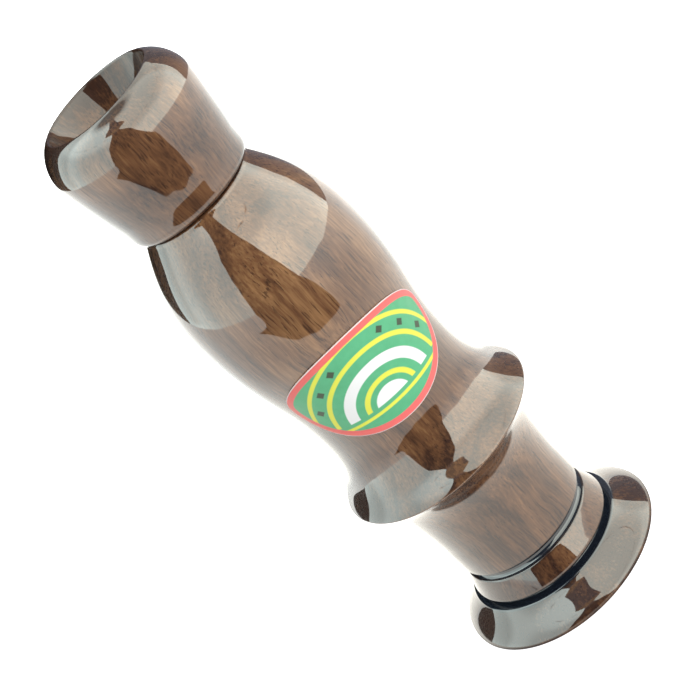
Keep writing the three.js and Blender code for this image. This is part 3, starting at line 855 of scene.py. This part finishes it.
for name, colour, strength in (
    ("tent_dark", (1, 1, 1), 0),
    ("tent_dim", (0.8, 0.85, 1.0), 0.35),
    ("tent_seam", (1.0, 0.9, 0.8), 1.0),
    ("tent_warm", (1.0, 0.62, 0.35), 1.2),
):
    tent.data.materials.append(emission(name, colour, strength))
tent.data.polygons.foreach_set("material_index", tent_slots)


def only_in_gloss(piece):
    """Hides a piece of the studio from all but the glossy rays."""
    piece.visible_camera = piece.visible_diffuse = piece.visible_shadow = False
    piece.visible_transmission = piece.visible_volume_scatter = False


only_in_gloss(tent)

# The sheet as the gloss sees it: painted contact shadow under the bell, lit round it, warm near and cool
# far.
GLOW_RADII, GLOW_SIDES, GLOW_LIFT = (0.05, 0.15, TENT_FOOT), 48, 0.0003
glow_points = [(0, 0, GLOW_LIFT)]
for ring_radius in GLOW_RADII:
    for i in range(GLOW_SIDES):
        angle = 2 * math.pi * i / GLOW_SIDES
        glow_points.append((ring_radius * math.sin(angle), -ring_radius * math.cos(angle), GLOW_LIFT))
glow_faces = [(0, 1 + i, 1 + (i + 1) % GLOW_SIDES) for i in range(GLOW_SIDES)]
for ring in range(len(GLOW_RADII) - 1):
    a = 1 + GLOW_SIDES * ring
    b = a + GLOW_SIDES
    for i in range(GLOW_SIDES):
        j = (i + 1) % GLOW_SIDES
        glow_faces.append((a + i, b + i, b + j, a + j))
glow = mesh_object("lit_sheet", glow_points, glow_faces, smooth=False)
lit_sheet = emission("lit_sheet", (0.94, 1.0, 1.0), 1.0)
tree = lit_sheet.node_tree
sheet_x, sheet_y, _ = parted(tree, on_object(tree))
sideways = math_node(tree, "ABSOLUTE", sheet_x)
away = flat_length(tree, sheet_x, sheet_y)
# Painted shadow: the glow falls to 0.2 within about 20 mm of the axis, under the bell's rim.
sheet_glow = profile(tree, away, [
    (0.0185, 0.2), (0.0205, 2.1), (0.03, 2.3), (0.06, 2.3),
    (0.10, 2.1), (0.14, 1.8), (0.20, 2.1), (0.42, 2.6),
])
sheet_glow = math_node(tree, "MULTIPLY", sheet_glow, ramp(tree, sideways, 0.02, 0.12, 1.0, 1.2))
sheet_glow = math_node(tree, "MULTIPLY", sheet_glow, ramp(tree, sheet_y, 0.0, 0.08, 1.0, 0.85))
wire(tree, sheet_glow, tree.nodes["Emission"].inputs["Strength"])
sheet_tint = blend_colour(tree, ramp(tree, away, 0.06, 0.15), (1.0, 0.98, 0.90), (0.98, 1.0, 0.96))
wire(tree, sheet_tint, tree.nodes["Emission"].inputs["Color"])
glow.data.materials.append(lit_sheet)
only_in_gloss(glow)

# The dark card that lies on the sheet in front of the call, by its outline in mm.
CARD_LIFT = 0.0005
card_outline = [
    (-168, -112), (-130, -119), (-94, -119), (-68, -119), (-36, -127), (0, -128), (34, -127), (60, -119),
    (70, -136), (86, -190), (104, -260), (132, -420), (-290, -420), (-288, -310), (-200, -220),
    (-160, -168), (-154, -150),
]
card_points = [(x * MM, y * MM, CARD_LIFT) for x, y in card_outline]
card = mesh_object("dark_card", card_points, [range(len(card_points))], smooth=False)
card.data.materials.append(tent.data.materials[DARK])
only_in_gloss(card)


LAMP_AIM, LAMP_SIZE = (0, 0, 0.05), 0.34


def soft_lamp(name, place, power):
    """A square soft lamp that shines on the middle of the call and isn't mirrored in it."""
    data = bpy.data.lights.new(name, "AREA")
    data.shape, data.size, data.energy = "SQUARE", LAMP_SIZE, power
    lamp = bpy.data.objects.new(name, data)
    lamp.location = place
    lamp.rotation_mode = "QUATERNION"
    lamp.rotation_quaternion = (Vector(LAMP_AIM) - Vector(place)).to_track_quat("-Z", "Y")
    lamp.visible_camera = lamp.visible_glossy = False
    bpy.context.scene.collection.objects.link(lamp)


soft_lamp("front_lamp", (0.06, -0.52, 0.32), 2.2)
soft_lamp("right_lamp", (0.38, -0.28, 0.36), 1.3)
soft_lamp("back_lamp", (0.04, 0.56, 0.26), 2.8)

# White all round for the eye and for the gloss; as light on the call it is dim.
world = bpy.data.worlds.new("tent_white")
world.use_nodes = True
bpy.context.scene.world = world
tree = world.node_tree
back = tree.nodes["Background"]
back.inputs["Color"].default_value = (1, 1, 1, 1)
path = tree.nodes.new("ShaderNodeLightPath")
bright = math_node(tree, "MAXIMUM", path.outputs["Is Camera Ray"], path.outputs["Is Glossy Ray"])
bright = math_node(tree, "MAXIMUM", bright, path.outputs["Is Transmission Ray"])
wire(tree, ramp(tree, bright, 0, 1, 0.16, 1.0, smooth=False), back.inputs["Strength"])

# Camera, at the photograph's angle: 25 degrees down on the standing call, rolled so that the call
# lies from upper left to lower right.
CAMERA_PLACE, CAMERA_DOWN, CAMERA_ROLL = (0, -0.279, 0.1847), math.radians(25.09), math.radians(45.31)
camera_data = bpy.data.cameras.new("camera")
camera_data.lens, camera_data.sensor_width = 102.857, 36
camera_data.clip_start, camera_data.clip_end = 0.01, 20
camera = bpy.data.objects.new("camera", camera_data)
bpy.context.scene.collection.objects.link(camera)
right = Vector((1, 0, 0))
upwards = Vector((0, math.sin(CAMERA_DOWN), math.cos(CAMERA_DOWN)))
forward = Vector((0, math.cos(CAMERA_DOWN), -math.sin(CAMERA_DOWN)))
camera_x = right * math.cos(CAMERA_ROLL) - upwards * math.sin(CAMERA_ROLL)
camera_y = right * math.sin(CAMERA_ROLL) + upwards * math.cos(CAMERA_ROLL)
camera_turn = Matrix((camera_x, camera_y, -forward)).transposed().to_4x4()
camera.matrix_world = Matrix.Translation(CAMERA_PLACE) @ camera_turn
bpy.context.scene.camera = camera
bpy.context.scene.view_settings.view_transform = "Standard"
